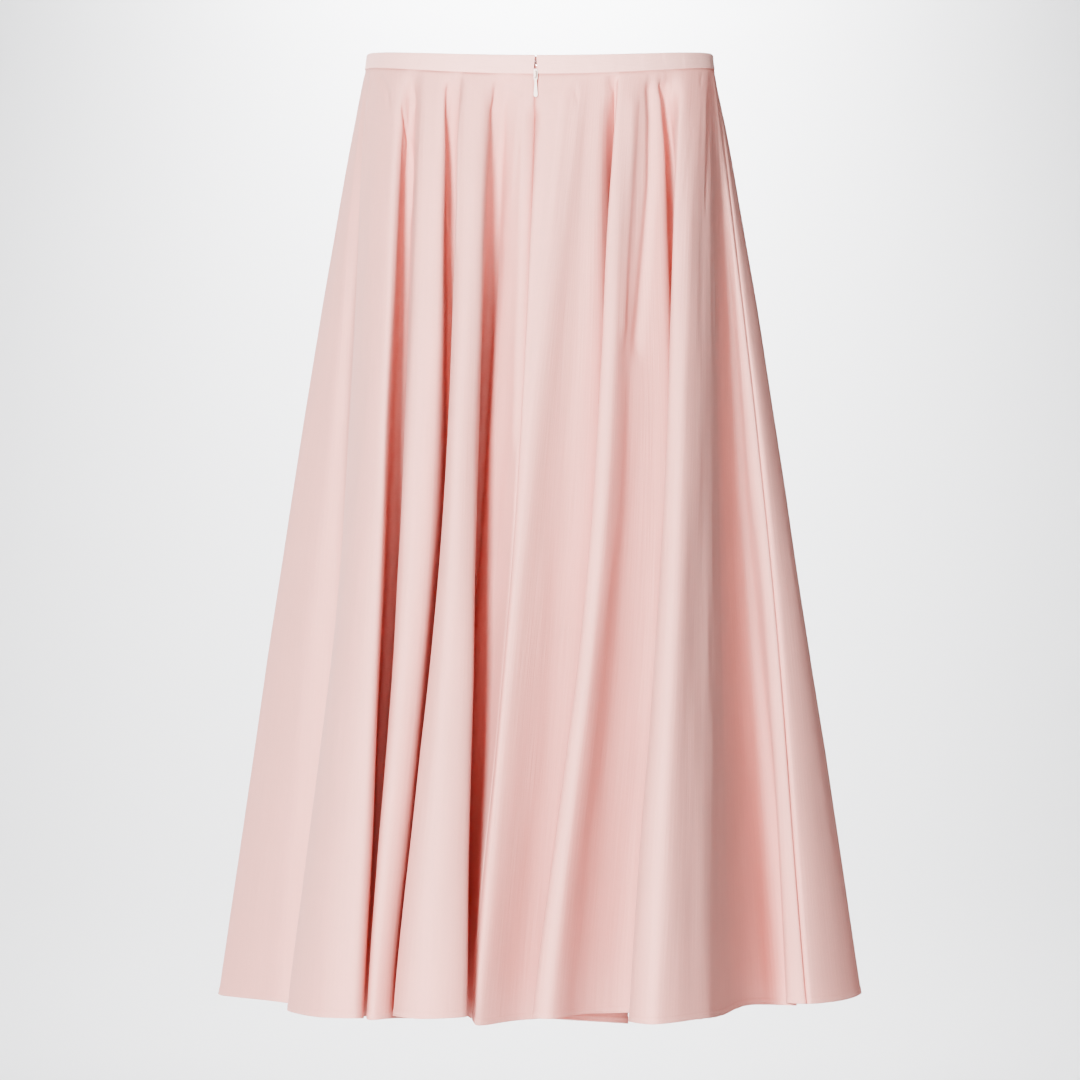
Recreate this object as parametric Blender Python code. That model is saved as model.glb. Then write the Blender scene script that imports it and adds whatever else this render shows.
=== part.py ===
"""Circle skirt: a midi length full circle in cotton poplin, filled out as it is when worn.

Lengths are in metres, and the tables of folds are in millimetres. Up is +Z. The centre back, with its zip,
faces -Y, so a point's "out" is its distance behind the wearer's middle, and "across" is its X. The origin
is in the middle of the waist opening, level with the top edge of the waistband at the sides.
"""

import math

import bmesh
import bpy
import numpy as np

MM = 0.001

# The waist, and the strip of cloth that finishes it.
WAIST_HALF_WIDTH = 0.1435  # at the seam under the waistband
WAIST_HALF_DEPTH = 0.1035
BAND_DRAW_IN = 0.0018  # how much nearer the middle its top edge stands
BACK_DIP = 0.0088  # the back of the waist hangs lower than its sides
BAND_HEIGHT = 0.0124  # at its front and sides
BAND_DEEPER = 0.0030  # how much higher the band is at the centre back
BAND_GAP = 0.0004  # between its lower edge and the panels
BAND_THICKNESS = 0.0024
BAND_PROUD = 0.0010
BAND_COLUMNS = 72
CLOSURE_ANGLE = -1.4  # degrees round the waist, from the middle of the back
CLOSURE_GAP_TOP = 0.0012
CLOSURE_GAP_FOOT = 0.0034

# The cut: a circle of cloth with the waist as its hole.
HEM_HEIGHT = -0.780
VALLEY_HANG = 0.08  # how much lower the hem hangs at the bottom of a valley, as a share of its depth
WALL = 0.0012
SEAM_GAP = 0.0003
GROWTH_ACROSS = 0.9  # folds open quickly below the waist and more slowly further down
GROWTH_OUT = 0.76
DEEP_FOLDS = "bcdfh"  # the folds whose valleys sink in sooner than the folds stand out
SINK_RATE = 6.0
VALLEY_HALF_WIDTH = 0.006  # half the width of the round at the bottom of a valley, at the hem
VALLEY_TURN = 0.8  # degrees of waist between the two sides of that round

# Each fold's left edge, crest and right edge and the valley after it, each as (angle at the waist in
# degrees, across at the hem, out at the hem). The bows say how far the fold's left and right edges stand
# across, half way down, from straight lines, and the rise how far its hem stands above the hem's height.
BACK_FOLDS = (
    # fold, bows, rise, left edge, crest, right edge, valley
    ("a", (0, 0), 0, (-93.0, -261, -85), (-89.5, -268, -58), (-82.0, -217, 10), (-78.5, -182, 26)),
    ("b", (13, 3), 0, (-74.5, -203, 95), (-62.5, -175, 158), (-52.4, -146, 168), (-45.2, -138, 54)),
    ("c", (6, 13), -2, (-40.8, -138.5, 148), (-38.6, -134.5, 160), (-31.4, -122, 147), (-27.4, -101, 66)),
    ("d", (12, 0), 1, (-24.8, -117, 158), (-22.4, -94, 184), (-18.4, -60, 168), (-11.4, -76, 60)),
    ("e", (-3, 9), -4, (-7.0, -66, 60), (-4.6, -59, 92), (-1.0, -55, 127), None),
    ("f", (-1, 14), -8, (10.6, -51.5, 137), (16.8, -16, 92), (21.4, 14, 72), (24.4, 67, 34)),
    ("g", (13, 10), -2, (27.2, -6, 140), (30.5, 6, 151), (35.5, 36, 104), None),
    ("h", (14, 8), -3, (38.0, 60, 84), (40.5, 80, 78), (44.0, 100, 70), (46.5, 126, 42)),
    ("i", (6, -1), 1, (54.2, 70, 208), (63.0, 88, 233), (73.0, 128, 183), None),
    ("j", (2, -6), -2, (74.8, 145, 122), (76.2, 158, 62), (77.6, 175, 18), (79.4, 206, -14)),
    ("k", (5, 4), 0, (86.0, 204, 26), (90.0, 219, 33), (94.0, 248, 2), None),
    ("l", (0, 0), 1, (97.0, 268, -55), (99.0, 264, -84), (101.0, 247, -102), (104.0, 188, -104)),
)

# The front's folds, as (angle at the waist, angle at the hem) in degrees, and the width of the fold in
# degrees, the depth of the valley after it and that valley's lean to the left.
FRONT_FOLDS = (
    # fold, waist angle, hem angle, width, valley depth, valley lean
    ("m", 113.0, 126.0, 12.0, 140, -8),
    ("n", 133.0, 144.5, 12.5, 150, 8),
    ("o", 154.0, 162.0, 13.5, 136, 0),
    ("p", 174.5, 180.0, 12.0, 154, 12),
    ("q", 195.5, 198.0, 14.5, 140, -10),
    ("r", 216.5, 216.0, 12.5, 148, 8),
    ("s", 238.5, 233.0, 12.0, 138, 0),
)
HEM_HALF_WIDTH = 266
HEM_HALF_DEPTH = 230
FRONT_EDGE_INSET = 18
FRONT_EDGE_TURN = 4.5  # degrees of waist from a front fold's crest to its edges
LAST_VALLEY_TURN = 12.0  # degrees that the front's last valley keeps clear of the left side

LEFT_SIDE_LINE = "a.left"
CENTRE_BACK_LINE = "e.right"
RIGHT_SIDE_LINE = "k.crest"

SPAN_STEPS = 12  # points of the smooth ring between one fold line and the next
COLUMN_SPACING = 0.026  # at the hem, along the cloth
COLUMN_TURN = 5.5  # degrees at the waist
MOST_IN_SPAN = 4
PATH_STEPS = 40
ROWS = (0.0, 0.02, 0.05, 0.09, 0.14, 0.20, 0.28, 0.38, 0.50, 0.62, 0.75, 0.88, 1.0)

# The zip: its tape runs down inside the centre back seam from just under the waistband.
TAPE_HALF_WIDTH = 0.010
TAPE_COLUMNS = 7
TAPE_THICKNESS = 0.0008
TAPE_CLEARANCE = 0.0004
TAPE_ROWS = 7  # it ends at this row of the panels

# The zip's slider stands in front of the waistband's lower edge, and its tab hangs from an arched bridge.
SLIDER_HALF_WIDTH = 0.0017
SLIDER_HALF_HEIGHT = 0.0045
SLIDER_CORNER = 0.0009
SLIDER_THICKNESS = 0.0010
SLIDER_HEIGHT = -0.0248  # the middle of the slider
BRIDGE_RADIUS = 0.0026
BRIDGE_STAND = 0.0009  # how far the arch's centre stands out from the slider's face
BRIDGE_WIRE = 0.00045
TAB_THICKNESS = 0.0009
TAB_LENGTH = 0.0158  # from the middle of its eye to its foot
TAB_SIDES = ((0.18, 0.0009), (0.40, 0.0011), (0.62, 0.0014))  # share of its length, half its width there
TAB_FOOT_HALF_WIDTH = 0.0017
TAB_FOOT_HEIGHT = 0.0019
EYE_RADIUS = 0.0016
EYE_HOLE = 0.0009

# The hook and the eye that it catches, bent from wire and sewn inside the two ends of the waistband. Each
# is two strands, one the other's mirror, that start in a loop for its sewing. A strand's points are across,
# in from the waistband and up from the hook's height, in millimetres.
HOOK_WIRE = 0.0004
HOOK_HEIGHT = -0.0145
SEWING_LOOP_RADIUS = 1.3
HOOK_LOOP = (-7.5, 2.1, 200, -60)  # across and up of its middle, and the angles that it runs between
HOOK_STRAND = (
    (-4.5, 0, 0.8), (0, 0, 0.8), (0.9, 0.4, 0.8), (1.3, 1.3, 0.8),
    (0.9, 2.2, 0.8), (0, 2.6, 0.8), (-2.2, 2.6, 0.7),
)
EYE_LOOP = (7.2, 3.5, -20, 240)
EYE_STRAND = ((4.5, 0.2, 2.5), (2.5, 1.0, 2.2), (0.2, 1.3, 2.2), (-0.6, 1.3, 1.8))

ARC_STEPS = 9
EYE_STEPS = 12
CORNER_STEPS = 4
WIRE_RESOLUTION = 1
SHARP_ANGLE = 50
SIDE_CLEARANCE = 0.0003
HOOK_CLEARANCE = 0.0006
MERGE = 0.00001


def waist_point(angle):
    """Across and out of the panels' top edge at an angle round the waist."""
    turn = math.radians(angle)
    return np.array((WAIST_HALF_WIDTH * math.sin(turn), WAIST_HALF_DEPTH * math.cos(turn)))


def waist_drop(angle):
    """How far below the sides the waist hangs at an angle round it."""
    return BACK_DIP * max(0.0, math.cos(math.radians(angle))) ** 2


def band_height(angle):
    """How high the waistband is at an angle round it."""
    return BAND_HEIGHT + BAND_DEEPER * max(0.0, math.cos(math.radians(angle))) ** 2


def fold_lines():
    """The lines of folds all round, each as name, waist angle, hem across, hem out, hem rise and bow."""
    lines = []
    for fold, (bow_left, bow_right), rise, *points in BACK_FOLDS:
        bows = (bow_left, (bow_left + bow_right) / 2, bow_right, bow_right)
        for part, point, bow in zip(("left", "crest", "right", "valley"), points, bows):
            if point:
                lines.append([f"{fold}.{part}", *point, rise, bow])
    for row, (fold, waist, hem, width, depth, lean) in enumerate(FRONT_FOLDS):
        for part, side in (("left", -1), ("crest", 0), ("right", 1)):
            inset = FRONT_EDGE_INSET * abs(side)
            across, out = hem_point(hem + side * width / 2, inset, 0)
            lines.append([f"{fold}.{part}", waist + side * FRONT_EDGE_TURN, across, out, 0, 0])
        if row + 1 < len(FRONT_FOLDS):
            _, next_waist, next_hem, *_ = FRONT_FOLDS[row + 1]
        else:
            next_waist = BACK_FOLDS[0][3][0] + 360
            next_hem = next_waist - LAST_VALLEY_TURN
        across, out = hem_point((hem + next_hem) / 2, depth, lean)
        lines.append([f"{fold}.valley", (waist + next_waist) / 2, across, out, 0, 0])
    return lines


def hem_point(angle, inset, lean):
    """A point inside the hem's ellipse: inset along its normal, and leant along it."""
    turn = math.radians(angle)
    outward = np.array((HEM_HALF_DEPTH * math.sin(turn), HEM_HALF_WIDTH * math.cos(turn)))
    outward /= np.linalg.norm(outward)
    along = np.array((outward[1], -outward[0]))
    edge = np.array((HEM_HALF_WIDTH * math.sin(turn), HEM_HALF_DEPTH * math.cos(turn)))
    return edge - outward * inset + along * lean


def round_valleys(lines):
    """Give the bottom of each valley two lines, so that the cloth turns in a round and not at a point."""
    rounded = []
    for index, (name, angle, across, out, rise, bow) in enumerate(lines):
        if not name.endswith("valley"):
            rounded.append((name, angle, across, out, rise, bow))
            continue
        before = np.array(lines[index - 1][2:4], float)
        after = np.array(lines[(index + 1) % len(lines)][2:4], float)
        middle = np.array((across, out), float)
        inward = middle - (before + after) / 2
        depth = np.linalg.norm(inward)
        inward /= depth
        rise -= VALLEY_HANG * depth
        side = np.array((inward[1], -inward[0])) * VALLEY_HALF_WIDTH / MM
        if np.dot(side, before - after) < 0:
            side = -side
        rounded.append((name + "_in", angle - VALLEY_TURN, *(middle + side), rise, bow))
        rounded.append((name + "_out", angle + VALLEY_TURN, *(middle - side), rise, bow))
    return rounded


LINES = round_valleys(fold_lines())
LINE_NAMES = [line[0] for line in LINES]
ANGLES = np.array([line[1] for line in LINES])
AT_WAIST = np.array([(*waist_point(line[1]), 0) for line in LINES])
AT_HEM = np.array([line[2:5] for line in LINES]) * MM
BOWS = np.array([line[5] for line in LINES]) * MM
SINKS = np.array([".valley" in name and name[0] in DEEP_FOLDS for name in LINE_NAMES])


def ring(depth):
    """The smooth ring through the fold lines at a depth from 0 at the waist to 1 at the hem.

    Each of its points is across, out and how far it stands above the level of its depth.
    """
    growth = np.tile((depth ** GROWTH_ACROSS, depth ** GROWTH_OUT, depth), (len(LINES), 1))
    growth[SINKS, 1] = 1 - (1 - depth) ** SINK_RATE
    knots = AT_WAIST + (AT_HEM - AT_WAIST) * growth
    knots[:, 0] += BOWS * (4 * depth * (1 - depth)) ** 2
    before = np.roll(knots, 1, axis=0)
    after = np.roll(knots, -1, axis=0)
    beyond = np.roll(knots, -2, axis=0)
    step_a = np.sqrt(np.linalg.norm(knots - before, axis=1))[:, None]
    step_b = np.sqrt(np.linalg.norm(after - knots, axis=1))[:, None]
    step_c = np.sqrt(np.linalg.norm(beyond - after, axis=1))[:, None]
    leave = (knots - before) / step_a - (after - before) / (step_a + step_b) + (after - knots) / step_b
    arrive = (after - knots) / step_b - (beyond - knots) / (step_b + step_c) + (beyond - after) / step_c
    points = []
    for step in range(SPAN_STEPS):
        u = step / SPAN_STEPS
        points.append(
            (2 * u**3 - 3 * u**2 + 1) * knots
            + (u**3 - 2 * u**2 + u) * leave * step_b
            + (3 * u**2 - 2 * u**3) * after
            + (u**3 - u**2) * arrive * step_b
        )
    return np.stack(points, axis=1).reshape(-1, 3)


def ring_angles():
    """The waist angle of each point of the ring."""
    after = np.append(ANGLES[1:], ANGLES[0] + 360)
    steps = np.arange(SPAN_STEPS) / SPAN_STEPS
    return (ANGLES[:, None] + (after - ANGLES)[:, None] * steps).ravel()


def cloth_surface(rows):
    """Points of the skirt at each share of the way down the cloth in rows, all round, and their normals."""
    top = np.array([-band_height(angle) - waist_drop(angle) for angle in ring_angles()])
    paths = []
    for depth in np.linspace(0, 1, PATH_STEPS + 1):
        plan = ring(depth)
        height = top + (HEM_HEIGHT - top) * depth + plan[:, 2]
        paths.append(np.column_stack((plan[:, 0], -plan[:, 1], height)))
    paths = np.array(paths)
    steps = np.linalg.norm(np.diff(paths, axis=0), axis=2)
    lengths = np.vstack((np.zeros(len(top)), np.cumsum(steps, axis=0)))
    points = np.empty((len(rows), len(top), 3))
    for column in range(len(top)):
        places = np.array(rows) * lengths[-1, column]
        for axis in range(3):
            points[:, column, axis] = np.interp(places, lengths[:, column], paths[:, column, axis])
    around = np.roll(points, -1, axis=1) - np.roll(points, 1, axis=1)
    down = np.gradient(points, axis=0)
    normals = np.cross(down, around)
    normals[0, :, 2] = 0
    normals /= np.linalg.norm(normals, axis=2)[:, :, None]
    return points, normals


def column_choice():
    """The ring's columns that the wall is built from: every fold line, and some between them."""
    hem = ring(1.0)
    turns = np.append(ANGLES[1:], ANGLES[0] + 360) - ANGLES
    chosen = []
    for line, turn in enumerate(turns):
        first = line * SPAN_STEPS
        span = [hem[(first + step) % len(hem)] for step in range(SPAN_STEPS + 1)]
        length = np.linalg.norm(np.diff(span, axis=0), axis=1).sum()
        pieces = max(1, min(MOST_IN_SPAN, round(length / COLUMN_SPACING)), round(turn / COLUMN_TURN))
        chosen.extend(first + SPAN_STEPS * piece // pieces for piece in range(pieces))
    return chosen


def wall_mesh(name, outer, inner):
    """A closed wall between two sheets of points of the same rows and columns, facing out."""
    rows, columns, _ = outer.shape
    mesh = bmesh.new()
    sheets = []
    for sheet in (outer, inner):
        sheets.append([[mesh.verts.new(point) for point in row] for row in sheet])
    front, back = sheets
    for row in range(rows - 1):
        for column in range(columns - 1):
            for sheet in (front, back):
                above = (sheet[row][column], sheet[row][column + 1])
                below = (sheet[row + 1][column + 1], sheet[row + 1][column])
                mesh.faces.new((*above, *below))
    for row in range(rows - 1):
        for end in (0, -1):
            mesh.faces.new((front[row][end], back[row][end], back[row + 1][end], front[row + 1][end]))
    for column in range(columns - 1):
        for edge in (0, -1):
            above = (front[edge][column], front[edge][column + 1])
            mesh.faces.new((*above, back[edge][column + 1], back[edge][column]))
    bmesh.ops.recalc_face_normals(mesh, faces=mesh.faces)
    data = bpy.data.meshes.new(name)
    mesh.to_mesh(data)
    mesh.free()
    data.shade_smooth()
    data.set_sharp_from_angle(angle=math.radians(SHARP_ANGLE))
    return data


def panel_columns(first_line, last_line):
    """The ring's columns from one fold line to the next that is named, going round from left to right."""
    total = len(LINES) * SPAN_STEPS
    first = LINE_NAMES.index(first_line) * SPAN_STEPS
    last = LINE_NAMES.index(last_line) * SPAN_STEPS
    if last <= first:
        last += total
    chosen = column_choice()
    twice_round = chosen + [column + total for column in chosen]
    return [column % total for column in twice_round if first <= column <= last]


def panel(name, surface, first_line, last_line, material):
    """A panel of the skirt from one seam to the next, as a closed wall that stops short of the seams."""
    points, normals = surface
    columns = panel_columns(first_line, last_line)
    middle = points[:, columns]
    for end, way in ((0, 1), (-1, -1)):
        beyond = points[:, (columns[end] + 1) % points.shape[1]]
        along = beyond - points[:, columns[end] - 1]
        along /= np.linalg.norm(along, axis=1)[:, None]
        middle[:, end] += along * way * SEAM_GAP / 2
    half_wall = normals[:, columns] * WALL / 2
    return add_object(name, wall_mesh(name, middle + half_wall, middle - half_wall), material)


def waistband(material):
    """The strip of double cloth that holds the waist, open at the centre back."""
    turns = np.linspace(CLOSURE_ANGLE, CLOSURE_ANGLE + 360, BAND_COLUMNS + 1)
    outer = np.empty((2, len(turns), 3))
    inner = np.empty((2, len(turns), 3))
    for column, angle in enumerate(turns):
        across, out = waist_point(angle)
        normal = np.array((across / WAIST_HALF_WIDTH**2, -out / WAIST_HALF_DEPTH**2, 0))
        normal /= np.linalg.norm(normal)
        foot = band_height(angle) - BAND_GAP
        for row, (below, draw) in enumerate(((0.0, BAND_DRAW_IN), (foot, 0.0))):
            middle = np.array((across, -out, -below - waist_drop(angle)))
            outer[row, column] = middle + normal * (BAND_PROUD - draw)
            inner[row, column] = outer[row, column] - normal * BAND_THICKNESS
    for row, gap in enumerate((CLOSURE_GAP_TOP, CLOSURE_GAP_FOOT)):
        for sheet in (outer, inner):
            sheet[row, 0, 0] += gap / 2
            sheet[row, -1, 0] -= gap / 2
    return add_object("waistband", wall_mesh("waistband", outer, inner), material)


def zip_tape(surface, material):
    """The zip's tape: a strip of even width inside the centre back seam, made from the panels' points."""
    points, normals = surface
    left = panel_columns(LEFT_SIDE_LINE, CENTRE_BACK_LINE)[-TAPE_COLUMNS:]
    right = panel_columns(CENTRE_BACK_LINE, RIGHT_SIDE_LINE)[1:TAPE_COLUMNS]
    columns = left + right
    offsets = np.linspace(-TAPE_HALF_WIDTH, TAPE_HALF_WIDTH, TAPE_COLUMNS)
    outer = np.empty((TAPE_ROWS, TAPE_COLUMNS, 3))
    inner = np.empty_like(outer)
    for row in range(TAPE_ROWS):
        line = points[row, columns] - normals[row, columns] * (WALL / 2 + TAPE_CLEARANCE)
        steps = np.linalg.norm(np.diff(line, axis=0), axis=1)
        along = np.concatenate(((0,), np.cumsum(steps)))
        along -= along[len(left) - 1]
        for axis in range(3):
            outer[row, :, axis] = np.interp(offsets, along, line[:, axis])
            normal = np.interp(offsets, along, normals[row, columns][:, axis])
            inner[row, :, axis] = outer[row, :, axis] - normal * TAPE_THICKNESS
    return add_object("zip_tape", wall_mesh("zip_tape", outer, inner), material)


def wire_mesh(name, route, radius):
    """A closed tube of metal or nylon along a route of points, as a mesh."""
    curve = bpy.data.curves.new(name, "CURVE")
    curve.dimensions = "3D"
    curve.bevel_depth = radius
    curve.bevel_resolution = WIRE_RESOLUTION
    curve.use_fill_caps = True
    spline = curve.splines.new("POLY")
    spline.points.add(len(route) - 1)
    for point, place in zip(spline.points, route):
        point.co = (*place, 1)
    holder = bpy.data.objects.new(name + "_route", curve)
    bpy.context.scene.collection.objects.link(holder)
    graph = bpy.context.evaluated_depsgraph_get()
    data = bpy.data.meshes.new_from_object(holder.evaluated_get(graph))
    bpy.data.objects.remove(holder)
    mesh = bmesh.new()
    mesh.from_mesh(data)
    bmesh.ops.remove_doubles(mesh, verts=mesh.verts, dist=MERGE)
    bmesh.ops.recalc_face_normals(mesh, faces=mesh.faces)
    mesh.to_mesh(data)
    mesh.free()
    data.name = name
    return data


def arc(centre, radius, start, end):
    """Points of an arc in the plane that faces the wearer's side, from angle start to end in degrees."""
    points = []
    for turn in np.radians(np.linspace(start, end, ARC_STEPS)):
        points.append((centre[0], centre[1] - radius * math.cos(turn), centre[2] + radius * math.sin(turn)))
    return points


def plate_mesh(name, outline, back, thickness):
    """A flat plate with an outline of (across, up) points, from its back face out towards -Y."""
    mesh = bmesh.new()
    corners = [mesh.verts.new((x, back, z)) for x, z in outline]
    face = mesh.faces.new(corners)
    grown = bmesh.ops.extrude_face_region(mesh, geom=[face])
    moved = [item for item in grown["geom"] if isinstance(item, bmesh.types.BMVert)]
    bmesh.ops.translate(mesh, verts=moved, vec=(0, -thickness, 0))
    bmesh.ops.recalc_face_normals(mesh, faces=mesh.faces)
    data = bpy.data.meshes.new(name)
    mesh.to_mesh(data)
    mesh.free()
    return data


def round_outline(half_width, half_height, corner):
    """The outline of a rectangle with round corners, about its middle."""
    points = []
    for quarter in range(4):
        turns = np.radians(90 * quarter + np.linspace(0, 90, CORNER_STEPS))
        middle_x = (half_width - corner) * (1 if quarter in (0, 3) else -1)
        middle_z = (half_height - corner) * (1 if quarter in (0, 1) else -1)
        points.extend((middle_x + corner * math.cos(t), middle_z + corner * math.sin(t)) for t in turns)
    return points


def closure_place():
    """Across and out of the waistband's outer face at the closure."""
    across, out = waist_point(CLOSURE_ANGLE)
    return across, out + BAND_PROUD


def slider_face():
    """How far out the face of the zip's slider stands."""
    return closure_place()[1] + SIDE_CLEARANCE + SLIDER_THICKNESS


def hinge_place():
    """The centre of the bridge's arch, which the tab turns about."""
    return closure_place()[0], -(slider_face() + BRIDGE_STAND), SLIDER_HEIGHT


def zip_slider(material):
    """The slider: a small plate with round corners and a wire bridge that arches out from it."""
    across = closure_place()[0]
    outline = round_outline(SLIDER_HALF_WIDTH, SLIDER_HALF_HEIGHT, SLIDER_CORNER)
    outline = [(across + x, SLIDER_HEIGHT + z) for x, z in outline]
    back = -slider_face() + SLIDER_THICKNESS
    plate = add_object("zip_slider", plate_mesh("zip_slider", outline, back, SLIDER_THICKNESS), material)
    centre = hinge_place()
    foot = centre[1] + BRIDGE_STAND + SLIDER_THICKNESS / 2
    arch = arc(centre, BRIDGE_RADIUS, -90, 90)
    route = [(centre[0], foot, arch[0][2]), *arch, (centre[0], foot, arch[-1][2])]
    bridge = add_object("bridge_cutter", wire_mesh("bridge_cutter", route, BRIDGE_WIRE), material)
    combine(plate, bridge, "UNION")
    return plate


def zip_pull(material):
    """The pull tab: a drop with an eye round the foot of the bridge, hanging down from its hinge."""
    eye = -BRIDGE_RADIUS
    foot = eye - TAB_LENGTH + TAB_FOOT_HEIGHT
    outline = []
    for turn in np.radians(np.linspace(-40, 220, EYE_STEPS)):
        outline.append((EYE_RADIUS * math.cos(turn), eye + EYE_RADIUS * math.sin(turn)))
    outline.extend((-half_width, eye - TAB_LENGTH * share) for share, half_width in TAB_SIDES)
    for turn in np.radians(np.linspace(180, 360, ARC_STEPS)):
        outline.append((TAB_FOOT_HALF_WIDTH * math.cos(turn), foot + TAB_FOOT_HEIGHT * math.sin(turn)))
    outline.extend((half_width, eye - TAB_LENGTH * share) for share, half_width in reversed(TAB_SIDES))
    plate = plate_mesh("zip_pull", outline, TAB_THICKNESS / 2, TAB_THICKNESS)
    tab = add_object("zip_pull", plate, material)
    tab.location = hinge_place()
    bpy.ops.mesh.primitive_cylinder_add(vertices=EYE_STEPS, radius=EYE_HOLE, depth=4 * TAB_THICKNESS)
    cutter = bpy.context.object
    cutter.name = "eye_cutter"
    cutter.rotation_euler = (math.pi / 2, 0, 0)
    cutter.location = tab.location
    cutter.location.z += eye
    combine(tab, cutter, "DIFFERENCE")
    return tab


def bent_wire(name, loop, strand, material):
    """A fastening of two mirrored strands, each from its sewing loop, just inside the leaning waistband."""
    across, up, start, end = loop
    upper = []
    for turn in np.radians(np.linspace(start, end, ARC_STEPS)):
        loop_across = across + SEWING_LOOP_RADIUS * math.cos(turn)
        upper.append((loop_across, 0, up + SEWING_LOOP_RADIUS * math.sin(turn)))
    upper.extend(strand)
    lower = [(x, depth, -z) for x, depth, z in reversed(upper)]
    middle, out = closure_place()
    height = band_height(CLOSURE_ANGLE)
    lean = BAND_DRAW_IN / height
    drawn = lean * (height + HOOK_HEIGHT + waist_drop(CLOSURE_ANGLE))
    front = -(out - drawn - BAND_THICKNESS - HOOK_CLEARANCE - HOOK_WIRE)
    route = []
    for x, depth, z in upper + lower:
        route.append((middle + x * MM, front + (depth + z * lean) * MM, HOOK_HEIGHT + z * MM))
    return add_object(name, wire_mesh(name, route, HOOK_WIRE), material)


def collection(name):
    """A collection of the scene, made if it isn't there."""
    group = bpy.data.collections.get(name)
    if group is None:
        group = bpy.data.collections.new(name)
        bpy.context.scene.collection.children.link(group)
    return group


def add_object(name, data, material):
    """An object of the skirt with its own material."""
    item = bpy.data.objects.new(name, data)
    data.materials.clear()
    data.materials.append(material)
    collection("circle_skirt").objects.link(item)
    return item


def combine(item, other, operation):
    """Give an item a Boolean with another object, which is then a cutter."""
    for group in other.users_collection:
        group.objects.unlink(other)
    collection("cutters").objects.link(other)
    other.hide_render = True
    other.display_type = "WIRE"
    change = item.modifiers.new(operation.lower(), "BOOLEAN")
    change.operation = operation
    change.solver = "EXACT"
    change.object = other


def finish(name, colour, roughness, metallic=0.0):
    """A Principled material."""
    material = bpy.data.materials.new(name)
    material.use_nodes = True
    shader = material.node_tree.nodes["Principled BSDF"]
    shader.inputs["Base Color"].default_value = (*colour, 1)
    shader.inputs["Roughness"].default_value = roughness
    shader.inputs["Metallic"].default_value = metallic
    material.diffuse_color = (*colour, 1)
    return material


def main():
    """Build the skirt."""
    for item in list(bpy.data.objects):
        bpy.data.objects.remove(item)
    poplin = finish("pink_poplin", (0.82, 0.60, 0.56), 0.75)
    band_cloth = finish("pink_poplin_band", (0.82, 0.60, 0.56), 0.72)
    tape_cloth = finish("pink_tape", (0.80, 0.55, 0.52), 0.85)
    nylon = finish("cream_enamel", (0.87, 0.80, 0.76), 0.40)
    steel = finish("steel_wire", (0.62, 0.62, 0.62), 0.30, 1.0)
    surface = cloth_surface(ROWS)
    panel("back_panel_left", surface, LEFT_SIDE_LINE, CENTRE_BACK_LINE, poplin)
    panel("back_panel_right", surface, CENTRE_BACK_LINE, RIGHT_SIDE_LINE, poplin)
    panel("front_panel", surface, RIGHT_SIDE_LINE, LEFT_SIDE_LINE, poplin)
    waistband(band_cloth)
    zip_tape(surface, tape_cloth)
    zip_slider(nylon)
    zip_pull(nylon)
    bent_wire("hook", HOOK_LOOP, HOOK_STRAND, steel)
    bent_wire("eye", EYE_LOOP, EYE_STRAND, steel)


main()
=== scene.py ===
"""The look of a circle skirt in pale pink cotton poplin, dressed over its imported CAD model.

Lengths are in metres, and the tables of folds are in millimetres, as in the model's own source. The cloth
is worked out from the same fold lines as the solids, with finer rows and columns, a turned and stitched
hem, seams that sink between the panels, and creases. The zip gets its tape, with its ends turned up
behind the waistband, and its coils.
"""

import math

import bmesh
import bpy
import numpy as np
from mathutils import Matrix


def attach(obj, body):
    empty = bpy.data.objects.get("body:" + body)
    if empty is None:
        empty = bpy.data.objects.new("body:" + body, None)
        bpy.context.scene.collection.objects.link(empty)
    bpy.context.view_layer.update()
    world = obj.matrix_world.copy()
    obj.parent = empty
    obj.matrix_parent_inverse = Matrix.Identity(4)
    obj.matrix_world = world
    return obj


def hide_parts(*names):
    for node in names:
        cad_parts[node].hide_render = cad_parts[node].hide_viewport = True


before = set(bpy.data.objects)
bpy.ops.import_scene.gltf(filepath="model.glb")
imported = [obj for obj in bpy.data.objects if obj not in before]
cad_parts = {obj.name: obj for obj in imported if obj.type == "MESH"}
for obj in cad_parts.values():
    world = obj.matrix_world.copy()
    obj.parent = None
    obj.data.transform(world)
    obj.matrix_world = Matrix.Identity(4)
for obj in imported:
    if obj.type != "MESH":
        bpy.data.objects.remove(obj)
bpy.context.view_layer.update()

MM = 0.001

# ---- The model's own sizes and tables, repeated from its source. ----

WAIST_HALF_WIDTH = 0.1435
WAIST_HALF_DEPTH = 0.1035
BAND_DRAW_IN = 0.0018
BACK_DIP = 0.0088
BAND_HEIGHT = 0.0124
BAND_DEEPER = 0.0030
BAND_THICKNESS = 0.0024
BAND_PROUD = 0.0010
CLOSURE_ANGLE = -1.4
CLOSURE_GAP_TOP = 0.0012
CLOSURE_GAP_FOOT = 0.0034
HEM_HEIGHT = -0.780
VALLEY_HANG = 0.08
GROWTH_ACROSS = 0.9
GROWTH_OUT = 0.76
DEEP_FOLDS = "bcdfh"  # the folds whose valleys sink in sooner than the folds stand out
SINK_RATE = 6.0
VALLEY_HALF_WIDTH = 0.006
VALLEY_TURN = 0.8

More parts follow.
